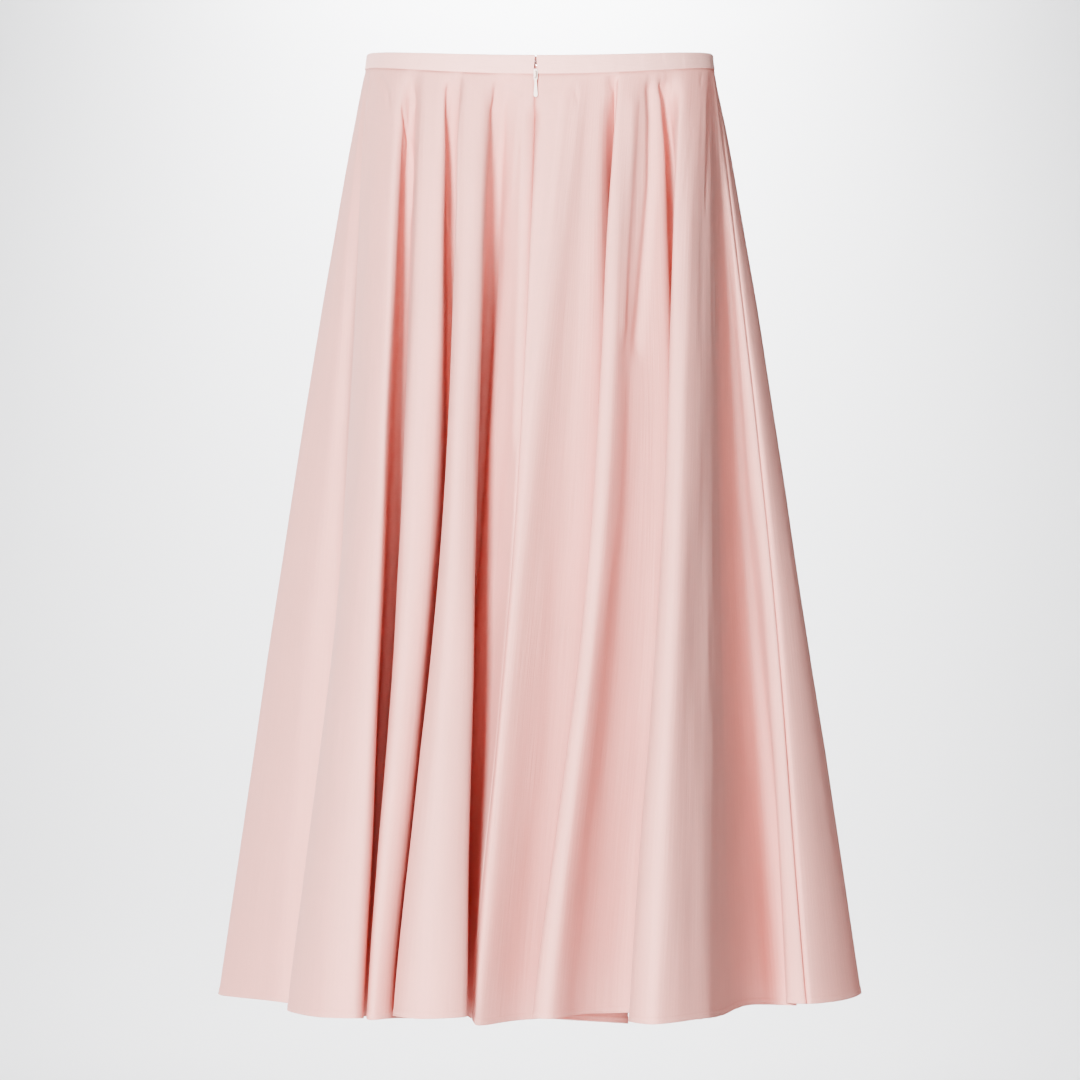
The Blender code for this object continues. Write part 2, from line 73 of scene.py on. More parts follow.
BACK_FOLDS = (
    # fold, bows, rise, left edge, crest, right edge, valley
    ("a", (0, 0), 0, (-93.0, -261, -85), (-89.5, -268, -58), (-82.0, -217, 10), (-78.5, -182, 26)),
    ("b", (13, 3), 0, (-74.5, -203, 95), (-62.5, -175, 158), (-52.4, -146, 168), (-45.2, -138, 54)),
    ("c", (6, 13), -2, (-40.8, -138.5, 148), (-38.6, -134.5, 160), (-31.4, -122, 147), (-27.4, -101, 66)),
    ("d", (12, 0), 1, (-24.8, -117, 158), (-22.4, -94, 184), (-18.4, -60, 168), (-11.4, -76, 60)),
    ("e", (-3, 9), -4, (-7.0, -66, 60), (-4.6, -59, 92), (-1.0, -55, 127), None),
    ("f", (-1, 14), -8, (10.6, -51.5, 137), (16.8, -16, 92), (21.4, 14, 72), (24.4, 67, 34)),
    ("g", (13, 10), -2, (27.2, -6, 140), (30.5, 6, 151), (35.5, 36, 104), None),
    ("h", (14, 8), -3, (38.0, 60, 84), (40.5, 80, 78), (44.0, 100, 70), (46.5, 126, 42)),
    ("i", (6, -1), 1, (54.2, 70, 208), (63.0, 88, 233), (73.0, 128, 183), None),
    ("j", (2, -6), -2, (74.8, 145, 122), (76.2, 158, 62), (77.6, 175, 18), (79.4, 206, -14)),
    ("k", (5, 4), 0, (86.0, 204, 26), (90.0, 219, 33), (94.0, 248, 2), None),
    ("l", (0, 0), 1, (97.0, 268, -55), (99.0, 264, -84), (101.0, 247, -102), (104.0, 188, -104)),
)
FRONT_FOLDS = (
    # fold, waist angle, hem angle, width, valley depth, valley lean
    ("m", 113.0, 126.0, 12.0, 140, -8),
    ("n", 133.0, 144.5, 12.5, 150, 8),
    ("o", 154.0, 162.0, 13.5, 136, 0),
    ("p", 174.5, 180.0, 12.0, 154, 12),
    ("q", 195.5, 198.0, 14.5, 140, -10),
    ("r", 216.5, 216.0, 12.5, 148, 8),
    ("s", 238.5, 233.0, 12.0, 138, 0),
)
HEM_HALF_WIDTH = 266
HEM_HALF_DEPTH = 230
FRONT_EDGE_INSET = 18
FRONT_EDGE_TURN = 4.5
LAST_VALLEY_TURN = 12.0

LEFT_SIDE_LINE = "a.left"
CENTRE_BACK_LINE = "e.right"
RIGHT_SIDE_LINE = "k.crest"

# ---- The waistband. ----

BAND_TURNS = 480
BAND_CORNER = 0.0009
BAND_FACE_STEPS = 12  # points up each of its faces
BAND_CORNER_STEPS = 5
BAND_WAVES = (0.00035, 0.022, 0.009, 41)  # height, size along, size up, seed
BAND_WAVES_LIFT = 0.02  # keeps heights in the band above 0
BAND_SHARP_ANGLE = 60  # degrees between faces from which an edge isn't shaded round

# ---- The cloth. ----

CLOTH = 0.0005  # its thickness
WAIST_RADIUS = 0.124  # of the hole in the circle that it is cut from
CLOTH_LENGTH = 0.772  # from the waist seam to the hem
PATH_RINGS = 160
TOP_ROWS = np.arange(0, 0.0601, 0.003)
MIDDLE_ROWS = 84
# The last rows, in millimetres above the hem's edge.
HEM_ROWS = (12.0, 8.0, 6.2, 5.4, 5.0, 4.4, 3.4, 2.8, 2.4, 2.2, 2.0, 1.6, 1.0, 0.5, 0.2, 0.0)
MOST_TURN = 0.9  # degrees of waist between two columns at the most
LEAST_COLUMNS = 3  # between two fold lines
SPAN_SAMPLES = 65  # of the hem between two fold lines, to space its columns by
SEAM_COLUMNS = (0.0, 0.25, 0.5, 0.8, 1.2, 1.8, 2.8, 4.2)  # millimetres from a seam, at the hem
SEAM_COLUMNS_CLEAR = 0.4  # how far the next column keeps from these, as a share of the last one's place

# The cloth's small unevenness: long and short waves over all of it, and a ripple along its hem.
WAVES = (
    # height, size across, size down, added to the panel's seed
    (0.0011, 0.045, 0.16, 0),
    (0.00035, 0.016, 0.07, 100),
)
WAVES_START = 0.05  # down the cloth, over which they grow
RIPPLE = (0.00035, 0.011, 0.5, 200)
RIPPLE_REACH = 0.010  # above the hem

HEM_WIDTH = 0.0052  # of the turned hem
HEM_SWELL = 0.00035  # how much further out its face stands than the single cloth's
HEM_EASE = 0.0006
STITCH_UP = 0.0022  # the hem's stitches, above its edge
STITCH_SINK = 0.00022
STITCH_GROOVE = 0.0004

SEAM_SINK = 0.0027  # of the cloth's edges at a seam
SEAM_ROUND = 0.0030  # how far from the seam they begin to sink

THREAD = 0.00016  # half the thickness of the hem's thread
STITCH_PITCH = 0.0026
STITCH_LENGTH = 0.0021
STITCH_SHAPE = ((0.0, 0.3, -0.6), (0.14, 0.9, 0.2), (0.86, 0.9, 0.2), (1.0, 0.3, -0.6))  # along, round, out
THREAD_SIDES = 6

# ---- The zip. ----

TAPE_HALF_WIDTH = 0.010
TAPE_THICKNESS = 0.0005
TAPE_DEPTH = 0.0034  # of its outer face behind the middle of the cloth
TAPE_ROWS = 110
TAPE_COLUMNS = 25
TAPE_END_TURN = 3.6  # degrees of waist on each side of the band's opening that its ends cover
TAPE_END_TOP = 0.06  # share of the band's height
TAPE_END_FOOT = 1.22
TAPE_END_DEPTHS = (0.0052, 0.0047)  # behind the waist's line, at their top and foot
TAPE_END_ROWS = 9
ZIP_START = 0.007  # of its closed coils, down the seam
ZIP_SHARE = 0.28  # of the seam that it takes
COIL_RADIUS = 0.0010
COIL_FLATNESS = 0.85  # its depth as a share of its width
COIL_GUIDE = 0.001  # from the seam to the points that its side to side way is taken from
COIL_WIRE = 0.00026
COIL_PITCH = 0.0014
COIL_APART = 0.0008  # each coil's middle from the seam
COIL_TURN_STEPS = 12
COIL_SIDES = 6
NEAR_SPANS = 2  # between fold lines, on each side of a seam, that its strips lie in
NEAR_STEPS = 24
ALLOWANCE_HALF_WIDTH = 0.008  # of a pressed open seam, inside
ALLOWANCE_THICKNESS = 0.0006
ALLOWANCE_DEPTH = 0.0032
ALLOWANCE_END = 0.995  # share of the seam, where the hem covers it
ALLOWANCE_ROWS = 150
ALLOWANCE_COLUMNS = 9

# Each panel: the fold lines that it runs between, the spacing of its columns at the hem, the share of a
# full circle that it is cut from, the seam whose allowances it carries, and the seed of its unevenness.
PANELS = (
    # name, CAD node, first line, last line, column spacing, share of a circle, seam, seed
    ("back_left", "back_panel_left", LEFT_SIDE_LINE, CENTRE_BACK_LINE, 0.0046, 0.25, "left", 11),
    ("back_right", "back_panel_right", CENTRE_BACK_LINE, RIGHT_SIDE_LINE, 0.0042, 0.25, "back", 12),
    ("front", "front_panel", RIGHT_SIDE_LINE, LEFT_SIDE_LINE, 0.0080, 0.50, "right", 13),
)
SEAMS = (
    # name, fold line, where its allowances begin as a share of the way down it
    ("left", LEFT_SIDE_LINE, 0.0),
    ("back", CENTRE_BACK_LINE, 0.29),
    ("right", RIGHT_SIDE_LINE, 0.0),
)

# Creases of the cloth. Each runs through points given as (angle at the waist in degrees, millimetres below
# the waistband). Half its width and its height are in millimetres, and a trough's height is less than 0.
CREASES = (
    # half width, height, points along it
    (2.2, -1.1, ((-72.0, 6), (-73.5, 27), (-79.5, 46))),
    (3.2, -1.6, ((-68.5, 5), (-60.0, 17), (-57.0, 40))),
    (2.0, -1.4, ((-47.6, 7), (-44.8, 19), (-44.3, 38))),
    (2.4, -1.9, ((-51.0, 28), (-48.0, 48), (-45.5, 63), (-43.9, 85), (-44.2, 120))),
    (1.2, 1.1, ((-39.4, 16), (-38.4, 67), (-38.0, 111), (-38.2, 169), (-38.8, 215))),
    (3.8, -4.2, ((-31.0, 6), (-29.8, 27), (-28.8, 60), (-28.2, 130))),
    (1.2, 1.1, ((-25.6, 20), (-24.8, 65), (-24.2, 111), (-24.0, 150))),
    (1.8, -1.4, ((-14.6, 8), (-14.2, 31))),
    (4.5, -2.6, ((-14.5, 20), (-14.2, 71), (-14.0, 120))),
    (1.8, 1.4, ((-9.4, 22), (-8.7, 61), (-8.2, 107), (-7.8, 140))),
    (1.0, 0.8, ((-11.6, 2.5), (-7.0, 3.5), (-3.2, 1.5))),
    (1.0, -0.8, ((-11.0, 4.5), (-7.0, 5.5), (-3.0, 3.5))),
    (1.6, -1.0, ((-12.7, 6), (-7.3, 13), (-2.2, 19))),
    (1.8, 0.6, ((-12.0, 9), (-7.0, 16), (-3.0, 23))),
    (1.6, -0.8, ((1.5, 13), (4.5, 11), (9.1, 10))),
    (1.2, -0.6, ((1.0, 3), (4.5, 1.5))),
    (2.6, 1.4, ((8.8, 13), (9.6, 46), (9.8, 92), (9.6, 130))),
    (1.6, -1.1, ((11.4, 9), (13.4, 25))),
    (3.6, 2.8, ((22.8, 8), (23.4, 31), (23.2, 80), (22.8, 150), (22.6, 230))),
    (5.0, 1.6, ((32.0, 20), (33.2, 65), (33.4, 120), (33.0, 220))),
    (4.2, -4.0, ((38.5, 6), (39.6, 40), (39.2, 90), (37.6, 150), (36.2, 230))),
    (3.4, -6.2, ((43.0, 7), (45.2, 24), (46.2, 70), (46.6, 130))),
    (1.1, 0.8, ((61.7, 47), (59.6, 82), (57.6, 121))),
    (1.1, -0.6, ((62.6, 50), (60.6, 82), (58.8, 121))),
    (1.6, -1.0, ((67.6, 7), (66.0, 18))),
    (3.0, -1.6, ((73.6, 24), (73.4, 57), (72.6, 122))),
    (6.0, -7.5, ((-1.0, 24), (-1.0, 90), (-1.1, 200), (-1.2, 300))),
    (2.4, -1.3, ((-1.8, 206), (-1.2, 226))),
    (2.2, 1.3, ((1.2, 226), (4.0, 214), (7.5, 221))),
    (2.2, -1.1, ((2.0, 231), (5.0, 222), (8.0, 229))),
    (2.0, 1.3, ((94.2, 610), (95.2, 604))),
    (1.8, -1.1, ((95.4, 634), (95.9, 657))),
    (1.6, 1.0, ((95.0, 634), (95.5, 657))),
    (2.2, -1.1, ((73.9, 622), (74.6, 634))),
)
CREASE_FADE = 0.010  # over which a crease begins and ends
MOST_FADE = 0.35  # the most of its length that this may take
CREASE_END = 0.15  # its height at its very ends, as a share of the rest

# ---- The camera, the light and the studio. ----

CAMERA_PLACE = (0.0, -4.5, -0.4)
CAMERA_LENS = 181.8
BACKDROP_DISTANCE = 7.0
BACKDROP_SIDES = (-2.15, 1.64)
BACKDROP_TOP = 5.2
FLOOR_START = -6.4
FLOOR_HEIGHT = -1.35
SWEEP_RADIUS = 2.0
SWEEP_STEPS = 25
PAPER_COLOUR = (0.80, 0.803, 0.818, 1)
SKY_STRENGTH = 0.14
SKIRT_MIDDLE = (0, 0, -0.4)
LAMPS = (
    # name, place, what it is aimed at, size, power, spread in degrees
    ("key", (-1.1, -4.15, 0.1), SKIRT_MIDDLE, (0.7, 1.8), 328, 180),
    ("front", (0, -4.8, -0.35), SKIRT_MIDDLE, (0.3, 0.3), 26, 180),
    ("fill", (2.5, -3.0, 0.0), SKIRT_MIDDLE, (1.2, 1.8), 18, 180),
    ("top", (0, 0.3, 2.6), SKIRT_MIDDLE, (2.0, 2.0), 34, 180),
    ("behind", (-2.2, 2.4, 0.8), SKIRT_MIDDLE, (1.0, 1.6), 90, 180),
    ("wall", (0, 5.87, 1.75), (0, 7.0, 0.74), (1.14, 0.51), 32, 95),
    ("floor", (0, 4.47, 0.86), (0, 5.74, -1.41), (2.02, 0.63), 47, 120),
)
MOST_BOUNCES = 10
MOST_DIFFUSE_BOUNCES = 6

# ---- The materials' values. ----

CLOTHS = (
    # name, colour, its streaks' scale, share of the light that comes through
    ("pink_poplin", (0.92, 0.555, 0.50), (330.0, 14.0, 1.0), 0.35),
    ("pink_poplin_band", (0.92, 0.555, 0.50), (60.0, 300.0, 1.0), 0.12),
    ("pink_tape", (0.84, 0.46, 0.42), (900.0, 60.0, 1.0), 0.15),
)
CLOTH_DARKEST = 0.955  # of its colour
CLOTH_LIGHTEST = 1.035
WARP_SCALE = (2600.0, 120.0, 1.0)
WEFT_SCALE = (90.0, 2100.0, 1.0)
CLOUD_SCALE = 14.0
SHEEN_TINT = (1.0, 0.86, 0.83, 1)
LIGHT_THROUGH_GAMMA = 1.5  # light that comes through is deeper in colour than the cloth's face
FINISHES = (
    # name, colour, roughness, metallic, how uneven its colour is
    ("pink_nylon", (0.84, 0.55, 0.51), 0.32, 0.0, 0.03),
    ("pink_thread", (0.86, 0.56, 0.51), 0.6, 0.0, 0.06),
    ("cream_enamel", (0.74, 0.61, 0.55), 0.35, 0.0, 0.03),
    ("steel_wire", (0.62, 0.62, 0.63), 0.28, 1.0, 0.05),
)
HARD_PIECES = (
    # CAD node, its finish
    ("zip_slider", "cream_enamel"),
    ("zip_pull", "cream_enamel"),
    ("hook", "steel_wire"),
    ("eye", "steel_wire"),
)


# ---- The fold lines and the rings through them, as in the model's source. ----


def waist_point(angle):
    """Across and out of the panels' top edge at an angle round the waist."""
    turn = math.radians(angle)
    return np.array((WAIST_HALF_WIDTH * math.sin(turn), WAIST_HALF_DEPTH * math.cos(turn)))


def waist_facing(angle):
    """Which way the waistband faces at an angle round the waist."""
    across, out = waist_point(angle)
    facing = np.array((across / WAIST_HALF_WIDTH**2, -out / WAIST_HALF_DEPTH**2, 0))
    return facing / np.linalg.norm(facing)


def waist_drop(angle):
    """How far below the sides the waist hangs at an angle round it."""
    return BACK_DIP * np.maximum(0.0, np.cos(np.radians(angle))) ** 2


def band_height(angle):
    """How high the waistband is at an angle round it."""
    return BAND_HEIGHT + BAND_DEEPER * np.maximum(0.0, np.cos(np.radians(angle))) ** 2


def smooth_step(share):
    """A share from 0 to 1, with an even start and end."""
    return share * share * (3 - 2 * share)


def fold_lines():
    """The lines of folds all round, each as name, waist angle, hem across, hem out, hem rise and bow."""
    lines = []
    for fold, (bow_left, bow_right), rise, *points in BACK_FOLDS:
        bows = (bow_left, (bow_left + bow_right) / 2, bow_right, bow_right)
        for part, point, bow in zip(("left", "crest", "right", "valley"), points, bows):
            if point:
                lines.append([f"{fold}.{part}", *point, rise, bow])
    for row, (fold, waist, hem, width, depth, lean) in enumerate(FRONT_FOLDS):
        for part, side in (("left", -1), ("crest", 0), ("right", 1)):
            inset = FRONT_EDGE_INSET * abs(side)
            across, out = hem_point(hem + side * width / 2, inset, 0)
            lines.append([f"{fold}.{part}", waist + side * FRONT_EDGE_TURN, across, out, 0, 0])
        if row + 1 < len(FRONT_FOLDS):
            _, next_waist, next_hem, *_ = FRONT_FOLDS[row + 1]
        else:
            next_waist = BACK_FOLDS[0][3][0] + 360
            next_hem = next_waist - LAST_VALLEY_TURN
        across, out = hem_point((hem + next_hem) / 2, depth, lean)
        lines.append([f"{fold}.valley", (waist + next_waist) / 2, across, out, 0, 0])
    return lines


def hem_point(angle, inset, lean):
    """A point inside the hem's ellipse: inset along its normal, and leant along it."""
    turn = math.radians(angle)
    outward = np.array((HEM_HALF_DEPTH * math.sin(turn), HEM_HALF_WIDTH * math.cos(turn)))
    outward /= np.linalg.norm(outward)
    along = np.array((outward[1], -outward[0]))
    edge = np.array((HEM_HALF_WIDTH * math.sin(turn), HEM_HALF_DEPTH * math.cos(turn)))
    return edge - outward * inset + along * lean


def round_valleys(lines):
    """Give the bottom of each valley two lines, so that the cloth turns in a round and not at a point."""
    rounded = []
    for index, (name, angle, across, out, rise, bow) in enumerate(lines):
        if not name.endswith("valley"):
            rounded.append((name, angle, across, out, rise, bow))
            continue
        before = np.array(lines[index - 1][2:4], float)
        after = np.array(lines[(index + 1) % len(lines)][2:4], float)
        middle = np.array((across, out), float)
        inward = middle - (before + after) / 2
        depth = np.linalg.norm(inward)
        inward /= depth
        rise -= VALLEY_HANG * depth
        side = np.array((inward[1], -inward[0])) * VALLEY_HALF_WIDTH / MM
        if np.dot(side, before - after) < 0:
            side = -side
        rounded.append((name + "_in", angle - VALLEY_TURN, *(middle + side), rise, bow))
        rounded.append((name + "_out", angle + VALLEY_TURN, *(middle - side), rise, bow))
    return rounded


LINES = round_valleys(fold_lines())
LINE_NAMES = [line[0] for line in LINES]
ANGLES = np.array([line[1] for line in LINES])
AT_WAIST = np.array([(*waist_point(line[1]), 0) for line in LINES])
AT_HEM = np.array([line[2:5] for line in LINES]) * MM
BOWS = np.array([line[5] for line in LINES]) * MM
SINKS = np.array([".valley" in name and name[0] in DEEP_FOLDS for name in LINE_NAMES])


def ring(depth, spans, shares):
    """Points of the smooth ring through the fold lines at a depth from 0 at the waist to 1 at the hem.

    Each point is in one of the spans between two lines, at a share of the way along it.
    """
    growth = np.tile((depth ** GROWTH_ACROSS, depth ** GROWTH_OUT, depth), (len(LINES), 1))
    growth[SINKS, 1] = 1 - (1 - depth) ** SINK_RATE
    knots = AT_WAIST + (AT_HEM - AT_WAIST) * growth
    knots[:, 0] += BOWS * (4 * depth * (1 - depth)) ** 2
    before = np.roll(knots, 1, axis=0)
    after = np.roll(knots, -1, axis=0)
    beyond = np.roll(knots, -2, axis=0)
    step_a = np.sqrt(np.linalg.norm(knots - before, axis=1))[:, None]
    step_b = np.sqrt(np.linalg.norm(after - knots, axis=1))[:, None]
    step_c = np.sqrt(np.linalg.norm(beyond - after, axis=1))[:, None]
    leave = (knots - before) / step_a - (after - before) / (step_a + step_b) + (after - knots) / step_b
    arrive = (after - knots) / step_b - (beyond - knots) / (step_b + step_c) + (beyond - after) / step_c
    u = shares[:, None]
    return (
        (2 * u**3 - 3 * u**2 + 1) * knots[spans]
        + (u**3 - 2 * u**2 + u) * (leave * step_b)[spans]
        + (3 * u**2 - 2 * u**3) * after[spans]
        + (u**3 - u**2) * (arrive * step_b)[spans]
    )


def panel_places(first_line, last_line, spacing):
    """The columns of a panel, each as its span and its share along it, from one seam line to the next."""
    first = LINE_NAMES.index(first_line)
    last = LINE_NAMES.index(last_line)
    if last <= first:
        last += len(LINES)
    fine = np.linspace(0, 1, SPAN_SAMPLES)
    spans = []
    shares = []
    for line in range(first, last):
        span = line % len(LINES)
        hem = ring(1.0, np.full(len(fine), span), fine)
        along = np.append(0, np.cumsum(np.linalg.norm(np.diff(hem, axis=0), axis=1)))
        after = ANGLES[(span + 1) % len(LINES)]
        turn = (after - ANGLES[span]) % 360
        count = max(round(along[-1] / spacing), math.ceil(turn / MOST_TURN), LEAST_COLUMNS)
        places = np.arange(count) / count * along[-1]
        if line == first:
            near = np.array(SEAM_COLUMNS) * MM
            places = np.append(near, places[places > near[-1] * (1 + SEAM_COLUMNS_CLEAR)])
        if line == last - 1:
            near = along[-1] - np.array(SEAM_COLUMNS[::-1]) * MM
            clear = SEAM_COLUMNS_CLEAR * (along[-1] - near[0])
            places = np.append(places[places < near[0] - clear], near)
        spans.extend([span] * len(places))
        shares.extend(np.interp(places, along, fine))
    return np.array(spans), np.array(shares)


def place_angles(spans, shares):
    """The waist angle of each column."""
    after = np.append(ANGLES[1:], ANGLES[0] + 360)
    return ANGLES[spans] + (after - ANGLES)[spans] * shares


def panel_surface(spans, shares):
    """A panel's points, with how far each is down the cloth, and each column's length."""
    angles = place_angles(spans, shares)
    top = -band_height(angles) - waist_drop(angles)
    paths = []
    for depth in np.linspace(0, 1, PATH_RINGS + 1):
        plan = ring(depth, spans, shares)
        height = top + (HEM_HEIGHT - top) * depth + plan[:, 2]
        paths.append(np.column_stack((plan[:, 0], -plan[:, 1], height)))
    paths = np.array(paths)
    steps = np.linalg.norm(np.diff(paths, axis=0), axis=2)
    lengths = np.vstack((np.zeros(len(top)), np.cumsum(steps, axis=0)))
    whole = lengths[-1]
    hem_rows = np.array(HEM_ROWS) * MM
    down = []
    for top_row in TOP_ROWS:
        down.append(np.full(len(top), top_row))
    for share in np.arange(1, MIDDLE_ROWS) / MIDDLE_ROWS:
        start = TOP_ROWS[-1]
        down.append(start + (whole - hem_rows[0] - start) * share)
    for hem_row in hem_rows:
        down.append(whole - hem_row)
    down = np.array(down)
    points = np.empty((*down.shape, 3))
    for column in range(len(top)):
        for axis in range(3):
            points[:, column, axis] = np.interp(down[:, column], lengths[:, column], paths[:, column, axis])
    return points, down, whole


def surface_normals(points):
    """Which way the cloth faces, out of the skirt."""
    normals = np.cross(np.gradient(points, axis=0), np.gradient(points, axis=1))
    return normals / np.linalg.norm(normals, axis=2)[:, :, None]


def value_noise(across, down, across_size, down_size, seed):
    """Smooth unevenness from -1 to 1, of a given size across and down."""
    x = across / across_size
    y = down / down_size
    left = np.floor(x).astype(int)
    above = np.floor(y).astype(int)
    lattice = np.random.default_rng(seed).uniform(-1, 1, (above.max() + 2, left.max() + 2))
    u = smooth_step(x - left)
    v = smooth_step(y - above)
    first = lattice[above, left] * (1 - u) + lattice[above, left + 1] * u
    second = lattice[above + 1, left] * (1 - u) + lattice[above + 1, left + 1] * u
    return first * (1 - v) + second * v


def flat_place(angle, down):
    """Where a point of the cloth is in the flat circle that it was cut from."""
    radius = WAIST_RADIUS + down
    return np.stack((radius * np.sin(np.radians(angle)), radius * np.cos(np.radians(angle))), axis=-1)


def crease_relief(angles, down):
    """How far the creases raise the cloth at each of its points."""
    flat = flat_place(angles, down)
    relief = np.zeros(down.shape)
    for half_width, height, places in CREASES:
        line = np.array([flat_place(angle, below * MM) for angle, below in places])
        steps = np.diff(line, axis=0)
        lengths = np.linalg.norm(steps, axis=1)
        whole = lengths.sum()
        away = np.full(down.shape, np.inf)
        along = np.zeros(down.shape)
        for start, step, length, before in zip(line, steps, lengths, np.cumsum(lengths) - lengths):
            share = np.clip(((flat - start) @ step) / length**2, 0, 1)
            apart = np.linalg.norm(flat - start - share[..., None] * step, axis=-1)
            nearer = apart < away
            along = np.where(nearer, before + share * length, along)
            away = np.where(nearer, apart, away)
        fade = min(CREASE_FADE, MOST_FADE * whole)
        swell = smooth_step(np.clip(np.minimum(along, whole - along) / fade, 0, 1))
        swell = CREASE_END + (1 - CREASE_END) * swell
        relief += height * MM * swell * np.exp(-((away / (half_width * MM)) ** 2))
    return relief


def seam_relief(points):
    """How far the cloth turns in towards the seams at a panel's two ends."""
    steps = np.linalg.norm(np.diff(points, axis=1), axis=2)
    along = np.hstack((np.zeros((len(points), 1)), np.cumsum(steps, axis=1)))
    away = np.minimum(along, along[:, -1:] - along)
    share = np.clip(away / SEAM_ROUND, 0, 1)
    return -SEAM_SINK * (1 - share) ** 2, along


def hem_relief(up):
    """How far the turned hem's face stands out, and how thick it is, at a height above its edge."""
    on_hem = smooth_step(np.clip((HEM_WIDTH + HEM_EASE - up) / (2 * HEM_EASE), 0, 1))
    stitch = np.exp(-(((up - STITCH_UP) / STITCH_GROOVE) ** 2))
    half = CLOTH / 2 + HEM_SWELL * on_hem - STITCH_SINK * stitch
    edge = np.clip(up / half, 0, 1)
    return half * np.sqrt(1 - (1 - edge) ** 2)


def new_mesh(name, points, corners, starts):
    """A mesh of points, from the corners of all its faces in a row and where each face starts in it."""
    data = bpy.data.meshes.new(name)
    data.vertices.add(points.size // 3)
    data.vertices.foreach_set("co", points.ravel())
    data.loops.add(corners.size)
    data.loops.foreach_set("vertex_index", corners)
    data.polygons.add(len(starts))
    data.polygons.foreach_set("loop_start", starts)
    data.update(calc_edges=True)
    return data


def shell_mesh(name, outer, inner, maps):
    """A closed thin shell between two sheets of points, with maps of its cloth."""
    rows, columns, _ = outer.shape
    count = rows * columns
    index = np.arange(count).reshape(rows, columns)
    a = index[:-1, :-1].ravel()
    b = index[:-1, 1:].ravel()
    c = index[1:, 1:].ravel()
    d = index[1:, :-1].ravel()
    faces = [np.column_stack((a, d, c, b)), np.column_stack((a, b, c, d)) + count]
    rim = np.concatenate((index[0], index[1:, -1], index[-1, -2::-1], index[-2:0:-1, 0]))
    after = np.roll(rim, -1)
    faces.append(np.column_stack((rim, after, after + count, rim + count)))
    faces = np.concatenate(faces)
    data = new_mesh(name, np.concatenate((outer, inner)), faces.ravel(), np.arange(0, faces.size, 4))
    for map_name, values in maps:
        layer = data.uv_layers.new(name=map_name)
        both = np.concatenate((values, values)).reshape(-1, 2)
        layer.uv.foreach_set("vector", both[faces.ravel()].ravel())
    data.shade_smooth()
    data.validate()
    return data


def add_object(name, data, material, body="skirt"):
    """A piece of the skirt that rides on one of its bodies."""
    item = bpy.data.objects.new(name, data)
    data.materials.clear()
    data.materials.append(material)
    bpy.context.scene.collection.objects.link(item)
    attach(item, body)
    return item


def cloth_panel(name, first_line, last_line, spacing, seed, material):
    """A panel of the skirt: its fine surface with seams, hem, creases and small unevenness."""
    spans, shares = panel_places(first_line, last_line, spacing)
    angles = place_angles(spans, shares)
    points, down, whole = panel_surface(spans, shares)
    normals = surface_normals(points)
    seam, along = seam_relief(points)
    hem_along = np.broadcast_to(along[-1], down.shape)
    fade = np.clip(down / WAVES_START, 0, 1)
    waves = np.zeros(down.shape)
    for height, across_size, down_size, seed_step in WAVES:
        waves += height * value_noise(hem_along, down, across_size, down_size, seed + seed_step)
    height, across_size, down_size, seed_step = RIPPLE
    ripple = height * value_noise(hem_along, down, across_size, down_size, seed + seed_step)
    up = whole - down
    relief = seam + crease_relief(np.broadcast_to(angles, down.shape), down) + waves * fade
    relief += ripple * np.exp(-up / RIPPLE_REACH)
    half = hem_relief(up)
    outer = points + normals * (relief + half)[..., None]
    inner = points + normals * (relief - half)[..., None]
    turn = np.degrees(hem_along / (WAIST_RADIUS + CLOTH_LENGTH))
    maps = (("pattern", flat_place(turn, down)), ("lay", np.stack((hem_along, down), axis=-1)))
    stitch_row = len(TOP_ROWS) + MIDDLE_ROWS - 1 + HEM_ROWS.index(STITCH_UP / MM)
    line = outer[stitch_row], normals[stitch_row], (outer[stitch_row - 2] - outer[stitch_row + 2])
    return add_object(name, shell_mesh(name, outer, inner, maps), material), line


def tubes_mesh(name, rings):
    """Closed tubes from rings of points, given as tube, ring, side and axis."""
    tubes, count, sides, _ = rings.shape
    index = np.arange(tubes * count * sides).reshape(tubes, count, sides)
    a = index[:, :-1]
    b = index[:, 1:]
    walls = np.stack((a, np.roll(a, -1, axis=2), np.roll(b, -1, axis=2), b), axis=-1).reshape(-1, 4)
    caps = np.concatenate((index[:, 0, ::-1], index[:, -1]))
    starts = np.append(np.arange(0, walls.size, 4), walls.size + np.arange(0, caps.size, sides))
    data = new_mesh(name, rings, np.concatenate((walls.ravel(), caps.ravel())), starts)
    data.shade_smooth()
    data.validate()
    return data


def hem_stitches(name, line, material):
    """The row of short stitches that holds the hem, a little above its edge."""
    points, normals, ups = line
    along = np.append(0, np.cumsum(np.linalg.norm(np.diff(points, axis=0), axis=1)))
    starts = np.arange(STITCH_PITCH, along[-1] - STITCH_PITCH, STITCH_PITCH)
    shape = np.array(STITCH_SHAPE)
    places = starts[:, None] + shape[:, 0] * STITCH_LENGTH
    middle, out, up = (
        np.stack([np.interp(places, along, values[:, axis]) for axis in range(3)], axis=-1)
        for values in (points, normals, ups)
    )
    out /= np.linalg.norm(out, axis=-1, keepdims=True)
    up /= np.linalg.norm(up, axis=-1, keepdims=True)
    middle = middle + out * (shape[:, 2] * THREAD)[:, None]
    turns = np.arange(THREAD_SIDES) / THREAD_SIDES * 2 * np.pi
    across = (shape[:, 1] * THREAD)[:, None, None]
    rings = middle[:, :, None] + across * (
        up[:, :, None] * np.cos(turns)[:, None] + out[:, :, None] * np.sin(turns)[:, None]
    )
    return add_object(name, tubes_mesh(name, rings), material)


